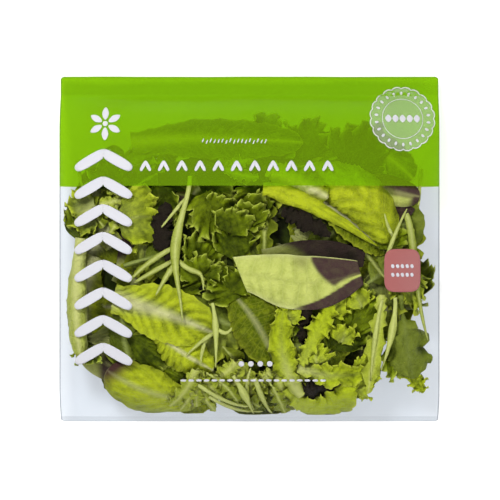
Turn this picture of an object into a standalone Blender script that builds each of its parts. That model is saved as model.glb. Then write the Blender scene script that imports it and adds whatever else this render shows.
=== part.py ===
"""A sealed pillow bag of mixed salad leaves, lying on its back with the printed side up.

Metres, +Z up. The origin is under the middle of the bag, on the surface it lies on. X runs across the bag from
fold to fold, and Y runs along it from the bottom seal to the top seal. The film is drawn tight over the leaves,
so the bag is one body: a lofted tube with rounded side folds, closed by a flat crimped seal at each end.
"""

import math

import bmesh
import bpy

# Driving dimensions of the bag.
WIDTH = 0.285
LENGTH = 0.260
THICKNESS = 0.050

# The flat seals across the two ends, and the thickness of the film that they press together.
TOP_SEAL = 0.014
BOTTOM_SEAL = 0.0035
SEAL_THICKNESS = 0.0012
CRIMP_HEIGHT = 0.0003
CRIMPS = 3
CORNER_RADIUS = 0.0025

# Heights above the table: the side folds at the fullest place, and the two seals.
FOLD_HEIGHT = 0.019
SEAL_HEIGHT = 0.0065
SEAL_WAVE = 0.0012

# The leaves lie low in the bag: the fullest place is below the middle, with an empty head above it.
FULLEST = -0.022
FULLNESS_POWER = 2.5
FULLNESS_ROOT = 0.66
FOLD_POWER = 3.2
FOLD_ROOT = 0.52
SEALED_FOLD_ROOT = 0.95
FLATTENED = 1.45

# Where leaves push the film up: (across, along, radius, height).
LEAF_BULGES = [
    (-0.112, 0.012, 0.028, 0.0030),
    (-0.062, -0.030, 0.032, 0.0036),
    (-0.070, -0.092, 0.030, 0.0034),
    (-0.048, 0.052, 0.026, 0.0026),
    (0.000, -0.068, 0.026, 0.0024),
    (0.012, 0.030, 0.030, 0.0022),
    (0.034, -0.022, 0.030, 0.0034),
    (0.052, -0.088, 0.028, 0.0030),
    (0.062, 0.030, 0.028, 0.0034),
    (0.108, -0.012, 0.026, 0.0028),
    (0.112, -0.078, 0.026, 0.0032),
    (0.100, 0.050, 0.024, 0.0024),
]

# The pleats that run into the bag from each seal.
PLEAT_HEIGHT = 0.0014
PLEAT_REACH = 0.026
PLEATS_ACROSS = 11

# How finely the film is divided.
COLUMNS = 40
ROWS_IN_POUCH = 40
ROWS_AT_CORNER = 3

HALF_WIDTH = WIDTH / 2
POUCH_START = -LENGTH / 2 + BOTTOM_SEAL
POUCH_END = LENGTH / 2 - TOP_SEAL


def smooth_step(value):
    """0 below 0, 1 above 1, and an S-curve between them."""
    value = min(1.0, max(0.0, value))
    return value * value * (3 - 2 * value)


def fullness(along):
    """Share of the full thickness at a place along the bag: 0 at both seals, 1 at the fullest place."""
    reach = POUCH_END - FULLEST if along > FULLEST else FULLEST - POUCH_START
    distance = min(1.0, abs(along - FULLEST) / reach)
    return (1 - distance**FULLNESS_POWER) ** FULLNESS_ROOT


def across_bulge(share, full):
    """Height of a cross-section at a share of the half-width: round at the folds, and sharper near the seals."""
    root = SEALED_FOLD_ROOT + (FOLD_ROOT - SEALED_FOLD_ROOT) * smooth_step(full)
    return max(0.0, 1 - abs(share) ** FOLD_POWER) ** root


def seal_line(across):
    """Height of the two seals above the table, which wave a little across the bag."""
    long_wave = math.sin(2 * math.pi * across / 0.130 + 0.6)
    short_wave = 0.5 * math.sin(2 * math.pi * across / 0.052 + 2.0)
    return SEAL_HEIGHT + SEAL_WAVE * (long_wave + short_wave)


def leaf_bulge(across, along):
    """Sum of round bumps, one for each leaf that pushes at the film."""
    total = 0.0
    for x, y, radius, height in LEAF_BULGES:
        distance = math.hypot(across - x, along - y) / radius
        total += height * math.exp(-distance * distance)
    return total


def pleats(across, along):
    """Ridges that start at a seal, run along the bag and fade out."""
    from_seal = min(along - POUCH_START, POUCH_END - along)
    if from_seal <= 0:
        return 0.0
    fade = math.exp(-from_seal / PLEAT_REACH) * (1 - math.exp(-from_seal / 0.005))
    return PLEAT_HEIGHT * fade * math.cos(math.pi * PLEATS_ACROSS * across / HALF_WIDTH)


def crimp(along):
    """Height of the ridges pressed into the top seal."""
    into_seal = (along - POUCH_END) / TOP_SEAL
    if into_seal <= 0:
        return 0.0
    return CRIMP_HEIGHT * math.sin(math.pi * CRIMPS * into_seal) ** 2


def half_width(along):
    """Half the width of the bag, less where its four corners are rounded."""
    from_end = LENGTH / 2 - abs(along)
    if from_end >= CORNER_RADIUS:
        return HALF_WIDTH
    inward = CORNER_RADIUS - from_end
    return HALF_WIDTH - CORNER_RADIUS + math.sqrt(CORNER_RADIUS**2 - inward**2)


def film_heights(across, along):
    """(upper, lower) height of the film over a point of the bag's outline."""
    full = fullness(along)
    share = across / half_width(along)
    bulge = across_bulge(share, full)
    upper_half = (SEAL_THICKNESS / 2 + crimp(along)) * (1 - smooth_step(8 * full))
    seam = seal_line(across) + (FOLD_HEIGHT - seal_line(across)) * smooth_step(1.6 * full)
    crown = (THICKNESS - FOLD_HEIGHT) * full * bulge
    relief = (leaf_bulge(across, along) * full + pleats(across, along)) * bulge
    upper = seam + crown + relief + upper_half
    pressed = min(1.0, FLATTENED * bulge * smooth_step(2.6 * full))
    lower = max(0.0, seam * (1 - smooth_step(pressed)) - upper_half)
    return upper, lower


def rows_along():
    """Places along the bag where a cross-section is drawn, closer together at the corners, crimps and seals."""
    rows = []
    for step in range(ROWS_AT_CORNER):
        rows.append(-LENGTH / 2 + CORNER_RADIUS * (1 - math.cos(math.pi / 2 * step / ROWS_AT_CORNER)))
    rows.append(-LENGTH / 2 + CORNER_RADIUS)
    for step in range(ROWS_IN_POUCH + 1):
        rows.append(POUCH_START + (POUCH_END - POUCH_START) * (1 - math.cos(math.pi * step / ROWS_IN_POUCH)) / 2)
    for step in range(1, 2 * CRIMPS):
        rows.append(POUCH_END + TOP_SEAL * step / (2 * CRIMPS))
    for step in range(ROWS_AT_CORNER, -1, -1):
        rows.append(LENGTH / 2 - CORNER_RADIUS * (1 - math.cos(math.pi / 2 * step / ROWS_AT_CORNER)))
    return sorted(rows)


def cross_section(mesh, along):
    """One closed ring of points: over the top from the left fold to the right one, and back underneath."""
    half = half_width(along)
    shares = [math.sin(math.pi * (column / COLUMNS - 0.5)) for column in range(COLUMNS + 1)]
    top, bottom = [], []
    for share in shares:
        upper, lower = film_heights(share * half, along)
        top.append(mesh.verts.new((share * half, along, upper)))
        bottom.append(mesh.verts.new((share * half, along, lower)))
    return top, bottom


def loft(sections):
    """Joins neighbouring cross-sections with quads over the top, underneath, at both folds and at both ends."""
    mesh = sections["mesh"]
    rings = sections["rings"]
    for (top, bottom), (next_top, next_bottom) in zip(rings, rings[1:]):
        for column in range(COLUMNS):
            mesh.faces.new((top[column], top[column + 1], next_top[column + 1], next_top[column]))
            mesh.faces.new((bottom[column], next_bottom[column], next_bottom[column + 1], bottom[column + 1]))
        mesh.faces.new((bottom[0], top[0], next_top[0], next_bottom[0]))
        mesh.faces.new((top[-1], bottom[-1], next_bottom[-1], next_top[-1]))
    for (top, bottom), order in ((rings[0], 1), (rings[-1], -1)):
        for column in range(COLUMNS):
            face = (bottom[column], bottom[column + 1], top[column + 1], top[column])
            mesh.faces.new(face[::order])


def film_material():
    """Clear film over green leaves, seen as one colour."""
    material = bpy.data.materials.new("film over leaves")
    material.use_nodes = True
    shader = material.node_tree.nodes["Principled BSDF"]
    shader.inputs["Base Color"].default_value = (0.16, 0.24, 0.04, 1)
    shader.inputs["Roughness"].default_value = 0.3
    shader.inputs["Metallic"].default_value = 0.0
    return material


def salad_bag():
    """The filled bag as one closed solid."""
    mesh = bmesh.new()
    rings = [cross_section(mesh, along) for along in rows_along()]
    loft({"mesh": mesh, "rings": rings})
    bmesh.ops.remove_doubles(mesh, verts=mesh.verts, dist=1e-6)
    bmesh.ops.recalc_face_normals(mesh, faces=mesh.faces)
    data = bpy.data.meshes.new("salad_bag")
    mesh.to_mesh(data)
    mesh.free()
    data.shade_smooth()
    bag = bpy.data.objects.new("salad_bag", data)
    bag.data.materials.append(film_material())
    bpy.context.scene.collection.objects.link(bag)
    return bag


for leftover in list(bpy.data.objects):
    bpy.data.objects.remove(leftover, do_unlink=True)
salad_bag()
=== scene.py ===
# %% [markdown]
# # A bag of salad leaves
#
# A sealed pillow bag of mixed leaves lies on its back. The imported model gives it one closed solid, which is right
# for weight and collision, but a clear bag is seen as three things: film, print on the film, and leaves behind it.
# Each is modelled here in the space that the solid holds.

# %% Load the frame
import math

import bpy
import numpy as np
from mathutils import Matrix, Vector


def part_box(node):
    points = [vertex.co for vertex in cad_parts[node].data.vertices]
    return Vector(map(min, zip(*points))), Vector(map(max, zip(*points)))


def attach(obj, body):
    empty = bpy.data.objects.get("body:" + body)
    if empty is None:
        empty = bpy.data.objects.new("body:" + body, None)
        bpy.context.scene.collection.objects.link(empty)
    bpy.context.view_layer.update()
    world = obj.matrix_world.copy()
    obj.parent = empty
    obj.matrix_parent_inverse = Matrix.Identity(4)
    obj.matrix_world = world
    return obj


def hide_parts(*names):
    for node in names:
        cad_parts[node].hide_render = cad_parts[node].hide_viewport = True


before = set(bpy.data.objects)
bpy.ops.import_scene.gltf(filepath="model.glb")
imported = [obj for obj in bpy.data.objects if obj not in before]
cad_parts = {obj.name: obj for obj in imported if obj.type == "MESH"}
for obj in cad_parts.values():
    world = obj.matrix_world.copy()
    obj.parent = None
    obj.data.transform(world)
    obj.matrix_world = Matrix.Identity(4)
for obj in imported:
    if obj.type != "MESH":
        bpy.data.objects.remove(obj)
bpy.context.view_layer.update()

bag_low, bag_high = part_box("salad_bag")
print("solids:", list(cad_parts), "bag", [round(1000 * (b - a), 1) for a, b in zip(bag_low, bag_high)], "mm")

# %% [markdown]
# ## The shape of the pouch
#
# The film is a tube laid flat, filled, and sealed across both ends. One formula gives its height over any place
# of the table, so every other piece can ask where the film is: the print lies on it and each leaf stays under it.
# The numbers are those of the solid, so that film and solid are the same form.

# %% Sizes of the pouch, in metres
HALF_WIDTH = bag_high.x
HALF_LENGTH = bag_high.y
THICKNESS = 0.050
TOP_SEAL = 0.014
BOTTOM_SEAL = 0.0035
POUCH_START = -HALF_LENGTH + BOTTOM_SEAL
POUCH_END = HALF_LENGTH - TOP_SEAL
CORNER_RADIUS = 0.0025
FOLD_HEIGHT = 0.019
SEAL_HEIGHT = 0.0065
SEAL_WAVE = 0.0012
SEAL_FILM = 0.00025
CRIMP_HEIGHT = 0.0003
CRIMPS = 9
FULLEST = -0.022
# Where leaves push the film up: across, along, radius, height.
LEAF_BULGES = [
    (-0.112, 0.012, 0.028, 0.0030),
    (-0.062, -0.030, 0.032, 0.0036),
    (-0.070, -0.092, 0.030, 0.0034),
    (-0.048, 0.052, 0.026, 0.0026),
    (0.000, -0.068, 0.026, 0.0024),
    (0.012, 0.030, 0.030, 0.0022),
    (0.034, -0.022, 0.030, 0.0034),
    (0.052, -0.088, 0.028, 0.0030),
    (0.062, 0.030, 0.028, 0.0034),
    (0.108, -0.012, 0.026, 0.0028),
    (0.112, -0.078, 0.026, 0.0032),
    (0.100, 0.050, 0.024, 0.0024),
]
print("pouch runs from", round(POUCH_START, 4), "to", round(POUCH_END, 4))


# %% Height of the film
def smooth_step(value):
    """0 below 0, 1 above 1, and the S-curve 3v^2 - 2v^3 between them."""
    value = np.clip(value, 0, 1)
    return value * value * (3 - 2 * value)


def fullness(y):
    """(1 - d^2.5)^0.66, where d is the distance from the fullest place as a share of the way to the seal."""
    reach = np.where(y > FULLEST, POUCH_END - FULLEST, FULLEST - POUCH_START)
    distance = np.minimum(1, np.abs(y - FULLEST) / reach)
    return (1 - distance**2.5) ** 0.66


def half_width(y):
    """Half the bag's width, less a quarter circle at each corner."""
    from_end = np.minimum(HALF_LENGTH - np.abs(y), CORNER_RADIUS)
    into = CORNER_RADIUS - from_end
    return HALF_WIDTH - CORNER_RADIUS + np.sqrt(np.maximum(0, CORNER_RADIUS**2 - into**2))


def seal_line(x):
    """Height of the flat seals: two sine waves across the bag."""
    return SEAL_HEIGHT + SEAL_WAVE * (np.sin(2 * np.pi * x / 0.130 + 0.6) + 0.5 * np.sin(2 * np.pi * x / 0.052 + 2.0))


def film_heights(x, y):
    """Height of the upper and the lower film: a round-shouldered bulge over the fold line, plus one soft bump for
    each pushing leaf and cosine pleats that die away from the seals."""
    full = fullness(y)
    share = np.clip(np.abs(x) / half_width(y), 0, 1)
    root = 0.95 - 0.43 * smooth_step(full)
    bulge = (1 - share**3.2) ** root
    bumps = sum(h * np.exp(-(np.hypot(x - cx, y - cy) / r) ** 2) for cx, cy, r, h in LEAF_BULGES)
    from_seal = np.maximum(0, np.minimum(y - POUCH_START, POUCH_END - y))
    pleats = 0.0014 * np.exp(-from_seal / 0.026) * (1 - np.exp(-from_seal / 0.005))
    pleats = pleats * np.cos(np.pi * 11 * x / HALF_WIDTH)
    seam = seal_line(x) + (FOLD_HEIGHT - seal_line(x)) * smooth_step(1.6 * full)
    upper = seam + (THICKNESS - FOLD_HEIGHT) * full * bulge + (bumps * full + pleats) * bulge
    pressed = np.minimum(1, 1.45 * bulge * smooth_step(2.6 * full))
    lower = np.maximum(0, seam * (1 - smooth_step(pressed)))
    return upper, lower


print("film height over the middle:", [round(float(h), 4) for h in film_heights(0.0, -0.022)])

# %% [markdown]
# ## Small tools
#
# Every piece below is a grid of points worked out as whole arrays, so one function turns such arrays into a mesh.
# Colours are written as they look on screen and turned to linear light once. One function adds a shader node with
# its settings and links, which keeps each material readable as a recipe.


# %% Helpers for meshes
def make_mesh(name, points, faces, finish, uv=None, traits=None, smooth=True):
    """points is (n, 3) in metres, faces is (m, 4). uv gives each point two numbers, traits is {name: (n, 3)}."""
    mesh = bpy.data.meshes.new(name)
    mesh.vertices.add(len(points))
    mesh.vertices.foreach_set("co", np.asarray(points, np.float32).ravel())
    mesh.loops.add(faces.size)
    mesh.loops.foreach_set("vertex_index", faces.ravel().astype(np.int32))
    mesh.polygons.add(len(faces))
    mesh.polygons.foreach_set("loop_start", np.arange(0, faces.size, 4, dtype=np.int32))
    mesh.update(calc_edges=True)
    if uv is not None:
        layer = mesh.uv_layers.new(name="leaf_map")
        layer.data.foreach_set("uv", np.asarray(uv, np.float32)[faces.ravel()].ravel())
    for key, values in (traits or {}).items():
        mesh.attributes.new(key, "FLOAT_VECTOR", "POINT").data.foreach_set("vector", np.asarray(values, np.float32).ravel())
    mesh.validate()
    if smooth:
        mesh.polygons.foreach_set("use_smooth", [True] * len(mesh.polygons))
    piece = bpy.data.objects.new(name, mesh)
    bpy.context.collection.objects.link(piece)
    piece.data.materials.append(finish)
    print(name, len(points), "points", sum(len(p.vertices) - 2 for p in mesh.polygons), "triangles")
    return piece


def grid_faces(rows, columns, first=0, flip=False):
    """Quads over a rows by columns grid of points, facing up when rows run along +X and columns along +Y."""
    index = first + np.arange(rows * columns).reshape(rows, columns)
    corners = [index[:-1, :-1], index[1:, :-1], index[1:, 1:], index[:-1, 1:]]
    faces = np.stack(corners, axis=-1).reshape(-1, 4)
    return faces[:, ::-1] if flip else faces


# %% Helpers for materials
def linear(colour):
    """An sRGB hex colour as linear red, green, blue and 1."""
    parts = [int(colour[i:i + 2], 16) / 255 for i in (1, 3, 5)]
    return [p / 12.92 if p <= 0.04045 else ((p + 0.055) / 1.055) ** 2.4 for p in parts] + [1.0]


def add_node(material, kind, settings=None, **links):
    """Adds a shader node. settings holds its properties and input values, and links joins inputs to other sockets."""
    node = material.node_tree.nodes.new("ShaderNode" + kind)
    for key, value in (settings or {}).items():
        if isinstance(key, int) or key in node.inputs:
            node.inputs[key].default_value = value
        else:
            setattr(node, key, value)
    for key, socket in links.items():
        target = node.inputs[int(key[1:])] if key[1:].isdigit() else node.inputs[key.replace("_", " ")]
        material.node_tree.links.new(socket, target)
    return node


def new_material(name):
    """An empty material with its output node."""
    material = bpy.data.materials.new(name)
    material.use_nodes = True
    material.node_tree.nodes.clear()
    return material, add_node(material, "OutputMaterial")


def connect(material, source, target):
    material.node_tree.links.new(source, target)


# %% [markdown]
# ## Camera, table and light
#
# The bag is seen from straight above with a long lens, so that its four sides look square and parallel. The light
# is a ring of large soft panels, most of them held low, with a weak one overhead. None of them is seen in gloss,
# since a lamp mirrored in the film would lie over it as a white veil.

# %% Camera and table
LENS, SENSOR = 180.0, 36.0
VIEW_WIDTH = 0.375
STAND_OFF = VIEW_WIDTH * LENS / SENSOR

camera_data = bpy.data.cameras.new("camera")
camera_data.lens = LENS
camera_data.sensor_width = SENSOR
camera_data.clip_end = 10
camera = bpy.data.objects.new("camera", camera_data)
camera.location = (0.0004, -0.0008, FOLD_HEIGHT + STAND_OFF)
bpy.context.collection.objects.link(camera)
bpy.context.scene.camera = camera

white_table, out = new_material("white table")
surface = add_node(white_table, "BsdfPrincipled", {"Base Color": (0.40, 0.40, 0.40, 1), "Roughness": 0.9,
                                                  "Emission Color": (1, 1, 1, 1), "Emission Strength": 0.65})
connect(white_table, surface.outputs[0], out.inputs[0])
corners = np.array([(-3, -3, -0.0004), (3, -3, -0.0004), (3, 3, -0.0004), (-3, 3, -0.0004)])
table = make_mesh("table", corners, np.array([[0, 1, 2, 3]]), white_table, smooth=False)
print("camera stands", round(STAND_OFF, 3), "m above the folds")

# %% Light
PANELS = [  # name, azimuth and elevation in degrees, distance and size in metres, power in watts, seen in gloss
    ("ceiling_panel", 90, 86, 2.2, 2.0, 9, False),
    ("key_panel", 122, 50, 1.6, 0.5, 30, False),
    ("left_panel", 190, 32, 1.6, 0.9, 6.5, False),
    ("right_panel", 352, 32, 1.6, 0.9, 15, False),
    ("foot_panel", 268, 34, 1.6, 0.9, 10, False),
]
for name, azimuth, elevation, distance, size, power, in_gloss in PANELS:
    light = bpy.data.lights.new(name, "AREA")
    light.shape = "DISK"
    light.size = size
    light.energy = power
    lamp = bpy.data.objects.new(name, light)
    a, e = math.radians(azimuth), math.radians(elevation)
    lamp.location = distance * np.array([math.cos(a) * math.cos(e), math.sin(a) * math.cos(e), math.sin(e)])
    lamp.rotation_euler = (math.pi / 2 - e, 0, a + math.pi / 2)
    lamp.visible_glossy = in_gloss
    bpy.context.collection.objects.link(lamp)

world = bpy.data.worlds.new("pale room")
world.use_nodes = True
tree = world.node_tree
direction = tree.nodes.new("ShaderNodeTexCoord")
height = tree.nodes.new("ShaderNodeSeparateXYZ")
glow = tree.nodes.new("ShaderNodeMapRange")
for socket, value in zip(list(glow.inputs)[1:5], (0.10, 0.60, 0.6, 0.12)):
    socket.default_value = value
tree.links.new(direction.outputs["Generated"], height.inputs[0])
tree.links.new(height.outputs["Z"], glow.inputs["Value"])
tree.links.new(glow.outputs["Result"], tree.nodes["Background"].inputs["Strength"])
tree.nodes["Background"].inputs["Color"].default_value = (1, 1, 1, 1)
bpy.context.scene.world = world
bpy.context.scene.view_settings.view_transform = "Standard"

# %% [markdown]
# ## Film
#
# The bag is 40 micron oriented polypropylene: clear, glossy and a little blue where it lies over white. It could be
# a cloth simulation, but its form is known from the solid, so it is the same formula on a much finer grid, with the
# creases that a tight film gets. A printed band of lime ink runs round its head. Film and band are two lengths of one
# tube, and meet at the band's lower edge.

# %% Creases of the film
BAND_EDGE = 0.0468
crease_rng = np.random.default_rng(11)
CREASES = [(crease_rng.uniform(-0.13, 0.13), crease_rng.uniform(-0.115, 0.105), crease_rng.uniform(0, np.pi),
            crease_rng.uniform(0.010, 0.030), crease_rng.uniform(0.0010, 0.0022), crease_rng.uniform(-0.0003, 0.0004))
           for _ in range(70)]


def film_creases(x, y):
    """Low ridges: each is a Gaussian across its line that fades along it. One long bowed ridge follows the inner
    edge of the head seal, and one upright ridge runs beside each fold."""
    total = 0
    for cx, cy, turn, reach, narrow, height in CREASES:
        along = (x - cx) * math.cos(turn) + (y - cy) * math.sin(turn)
        off = -(x - cx) * math.sin(turn) + (y - cy) * math.cos(turn)
        total = total + height * np.exp(-((along / reach) ** 2) - (off / narrow) ** 2)
    bow = 0.1150 + 0.0050 * (x / 0.10) ** 2
    total = total + 0.0010 * np.exp(-(((y - bow) / 0.0016) ** 2)) * np.exp(-((x / 0.105) ** 6))
    fold_ridges = np.exp(-(((x + 0.1245) / 0.0035) ** 2)) + np.exp(-(((x - 0.1350) / 0.0025) ** 2))
    return total + 0.0006 * fold_ridges * smooth_step((y - POUCH_START) / 0.03) * smooth_step((0.114 - y) / 0.02)


def film_ring(share, y):
    """Upper and lower film at a share of the half-width, with the creases and the crimped seals."""
    x = share * half_width(y)
    upper, lower = film_heights(x, y)
    loose = (1 - np.abs(share) ** 8) * smooth_step(6 * fullness(y))
    upper = upper + film_creases(x, y) * loose
    into_seal = np.maximum((y - POUCH_END) / TOP_SEAL, (POUCH_START - y) / BOTTOM_SEAL)
    crimp = np.where(into_seal > 0, CRIMP_HEIGHT * np.sin(np.pi * CRIMPS * into_seal) ** 2, 0)
    pressed = SEAL_FILM / 2 * (1 - smooth_step(8 * fullness(y)))
    edge = 1 - np.abs(share) ** 30
    upper = upper + (pressed + crimp) * edge
    lower = lower - (pressed - crimp * (into_seal > 0)) * edge
    lower = np.maximum(lower, 0.0004)
    return x, np.maximum(upper, lower), lower


# %% Film as rings of points
FILM_COLUMNS = 150
FOLD_WIDTH = 0.0007


def film_tube(rows_y, closed_row):
    """Rings of points along the bag, and quads between them. closed_row is the end, 0 or -1, that is sealed."""
    share = np.sin(np.linspace(-np.pi / 2, np.pi / 2, FILM_COLUMNS) * 0.94) / math.sin(np.pi / 2 * 0.94)
    y = rows_y[:, None] + 0 * share[None, :]
    x, upper, lower = film_ring(share[None, :], y)
    upper[:, [0, -1]] = lower[:, [0, -1]] = (0.5 * (upper + lower))[:, [0, -1]]
    ring = FILM_COLUMNS * 2 - 2
    points = np.empty((len(rows_y), ring, 3))
    points[:, :FILM_COLUMNS] = np.stack([x, y, upper], axis=-1)
    points[:, FILM_COLUMNS:] = np.stack([x, y, lower], axis=-1)[:, -2:0:-1]
    index = np.arange(len(rows_y) * ring).reshape(len(rows_y), ring)
    around = np.roll(index, -1, axis=1)
    faces = np.stack([index[:-1], around[:-1], around[1:], index[1:]], axis=-1).reshape(-1, 4)
    from_fold = np.minimum(half_width(y) * (1 - np.abs(share)), np.abs(y - rows_y[closed_row]))
    fold = np.concatenate([from_fold, from_fold[:, -2:0:-1]], axis=1) < FOLD_WIDTH
    seal = 0.3 * (np.abs(y - rows_y[closed_row]) < (BOTTOM_SEAL if closed_row == 0 else TOP_SEAL))
    sealed = np.concatenate([seal, seal[:, -2:0:-1]], axis=1)
    traits = np.repeat(np.maximum(fold, sealed).reshape(-1, 1), 3, axis=1)
    top = index[closed_row, :FILM_COLUMNS]
    under = np.concatenate([top[:1], index[closed_row, :FILM_COLUMNS - 1:-1], top[-1:]])
    cap = np.stack([top[:-1], under[:-1], under[1:], top[1:]], axis=-1)
    faces = np.concatenate([faces, cap if closed_row == 0 else cap[:, ::-1]])
    return points.reshape(-1, 3), faces, {"fold": traits}


def spaced_rows(start, end, count, crowd=0.6):
    """Rows from start to end, closer together at both ends."""
    t = np.linspace(0, 1, count)
    eased = 0.5 - 0.5 * np.cos(np.pi * t)
    return start + (end - start) * (crowd * eased + (1 - crowd) * t)


# %% Clear film and printed band
def film_finish(name, tint, edge_tint, ink=None, cover=0.0):
    """Film that lets light through in a tint, which deepens edge-on where the way through it is long, and that
    mirrors more of it edge-on: 0.004 + 0.12 (1 - cosine)^5. With ink, that share of it has the ink's colour."""
    material, out = new_material(name)
    turned = add_node(material, "LayerWeight", {"Blend": 0.5})
    steep = add_node(material, "Math", {"operation": "POWER", 1: 5.0}, _0=turned.outputs["Facing"])
    fold = add_node(material, "SeparateXYZ", {}, Vector=add_node(material, "Attribute", {"attribute_name": "fold"}).outputs["Vector"])
    dimmed = add_node(material, "Math", {"operation": "MULTIPLY_ADD", 1: 0.35}, _0=fold.outputs["X"], _2=steep.outputs[0])
    deepened = add_node(material, "Mix", {"data_type": "RGBA", 6: tint, 7: edge_tint}, _0=dimmed.outputs[0])
    see = add_node(material, "BsdfTransparent", {}, Color=deepened.outputs[2])
    if ink:
        coat = add_node(material, "BsdfPrincipled", {"Base Color": linear(ink), "Roughness": 0.34, "IOR": 1.05})
        see = add_node(material, "MixShader", {0: cover}, _1=see.outputs[0], _2=coat.outputs[0])
    sheen = add_node(material, "BsdfGlossy", {"Color": (1, 1, 1, 1), "Roughness": 0.14})
    mirrored = add_node(material, "Math", {"operation": "MULTIPLY_ADD", 1: 0.12, 2: 0.004}, _0=steep.outputs[0])
    both = add_node(material, "MixShader", {}, _0=mirrored.outputs[0], _1=see.outputs[0], _2=sheen.outputs[0])
    connect(material, both.outputs[0], out.inputs[0])
    return material


clear_film = film_finish("oriented polypropylene film, clear", (0.836, 0.858, 0.884, 1), (0.24, 0.27, 0.30, 1))
band_ink = film_finish("oriented polypropylene film, lime ink", (0.47, 0.70, 0.045, 1), (0.14, 0.24, 0.02, 1), "#82ae14", 0.30)

points, faces, traits = film_tube(spaced_rows(-HALF_LENGTH, BAND_EDGE, 100), 0)
film_clear = make_mesh("film_clear", points, faces, clear_film, traits=traits)
points, faces, traits = film_tube(spaced_rows(BAND_EDGE, HALF_LENGTH, 60), -1)
film_band = make_mesh("film_band", points, faces, band_ink, traits=traits)

# %% [markdown]
# ## Print
#
# White and rose inks lie on the film. Each printed shape is a patch drawn from its middle: its outline is a radius
# that depends on the angle, the patch is filled by shrinking that outline, and its height is the film's height plus a
# hair. All shapes are plain ones: bars with soft corners, discs and a scalloped rosette.

# %% Patches of ink
INK_LIFT = 0.00018
INK_THICKNESS = 0.00006


def ink_height(x, y):
    """The film's upper height where ink lies."""
    share = np.clip(x / half_width(y), -1, 1)
    return film_ring(share, y)[1] + INK_LIFT


def patch(outline, centre, turn=0.0, spokes=48, rings=8, inner=0.0, cut=None):
    """A patch whose edge is centre + outline(angle), turned, in metres. With inner above 0 it is a ring. cut is the
    lowest and highest x that it may reach."""
    angle = np.linspace(0, 2 * np.pi, spokes, endpoint=False)
    edge_x, edge_y = outline(angle)
    share = np.linspace(inner, 1, rings + 1) if inner else np.linspace(0.04, 1, rings + 1)
    px, py = share[:, None] * edge_x, share[:, None] * edge_y
    x = centre[0] + px * math.cos(turn) - py * math.sin(turn)
    y = centre[1] + px * math.sin(turn) + py * math.cos(turn)
    return (np.clip(x, *cut) if cut else x), y, inner == 0


def ink_piece(name, patches, finish, over=0.0):
    """Joins patches into one thin closed layer: a top, a bottom, and the walls between them. over lifts it."""
    all_points, all_faces, count = [], [], 0
    for x, y, filled in patches:
        rings, spokes = x.shape
        top = np.stack([x, y, ink_height(x, y) + over], axis=-1).reshape(-1, 3)
        low = top - (0, 0, INK_THICKNESS)
        index = count + np.arange(rings * spokes).reshape(rings, spokes)
        turned = np.roll(index, -1, axis=1)
        upper = np.stack([index[:-1], index[1:], turned[1:], turned[:-1]], axis=-1).reshape(-1, 4)
        shift = rings * spokes
        rim = np.stack([index[-1], index[-1] + shift, turned[-1] + shift, turned[-1]], axis=-1)
        inside = np.stack([index[0], turned[0], turned[0] + shift, index[0] + shift], axis=-1)
        all_points += [top, low]
        all_faces += [upper, upper[:, ::-1] + shift, rim]
        if filled:
            half = spokes // 2
            row = index[0]
            left, right = row[:half + 1], np.concatenate([row[:1], row[:half - 1:-1]])
            lid = np.stack([left[:-1], left[1:], right[1:], right[:-1]], axis=-1)
            all_faces += [lid, lid[:, ::-1] + shift]
        else:
            all_faces.append(inside)
        count += 2 * shift
    return make_mesh(name, np.concatenate(all_points), np.concatenate(all_faces), finish, smooth=False)


# %% Outlines of the printed shapes
def lozenge(wide, tall, hollow=0.80):
    """|x/a|^p + |y/b|^p = 1 with p below 1: a diamond with slightly hollow sides."""
    def outline(angle):
        c, s = np.cos(angle), np.sin(angle)
        radius = (np.abs(c) ** hollow + np.abs(s) ** hollow) ** (-1 / hollow)
        return radius * c * wide / 2, radius * s * tall / 2
    return outline


def bar(wide, tall, power=4.0):
    """The superellipse |x/a|^p + |y/b|^p = 1: a bar with soft corners."""
    def outline(angle):
        c, s = np.cos(angle), np.sin(angle)
        radius = (np.abs(c) ** power + np.abs(s) ** power) ** (-1 / power)
        return radius * c * wide / 2, radius * s * tall / 2
    return outline


def scallops(radius, count, depth):
    """A circle whose radius rises and falls in count round scallops."""
    def outline(angle):
        r = radius * (1 - depth + depth * np.abs(np.sin(count * angle / 2)) ** 0.7)
        return r * np.cos(angle), r * np.sin(angle)
    return outline


# %% White and rose print
white_ink, out = new_material("white flexo ink")
ink = add_node(white_ink, "BsdfPrincipled", {"Base Color": linear("#aeaeb3"), "Roughness": 0.42, "IOR": 1.45})
connect(white_ink, ink.outputs[0], out.inputs[0])
rose_ink, out = new_material("rose flexo ink")
ink = add_node(rose_ink, "BsdfPrincipled", {"Base Color": linear("#8a504e"), "Roughness": 0.38, "IOR": 1.45})
connect(rose_ink, ink.outputs[0], out.inputs[0])
frost_ink, out = new_material("frosted white flexo ink")
see = add_node(frost_ink, "BsdfTransparent", {"Color": (1, 1, 1, 1)})
ink = add_node(frost_ink, "BsdfPrincipled", {"Base Color": linear("#c8c8c0"), "Roughness": 0.42})
both = add_node(frost_ink, "MixShader", {0: 0.10}, _1=see.outputs[0], _2=ink.outputs[0])
connect(frost_ink, both.outputs[0], out.inputs[0])

# %% The shapes and their places
def slanted_bars(x, y, long, thick, degrees, power=3.0):
    """Two bars that lean together like a roof and meet in a mitre at x."""
    lean, apart = math.radians(degrees), 0.5 * (long - 0.6 * thick) * math.cos(math.radians(degrees))
    return [patch(bar(long, thick, power), (x - apart, y), turn=lean, spokes=32, rings=5, cut=(-1, x)),
            patch(bar(long, thick, power), (x + apart, y), turn=-lean, spokes=32, rings=5, cut=(x, 1))]


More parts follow.
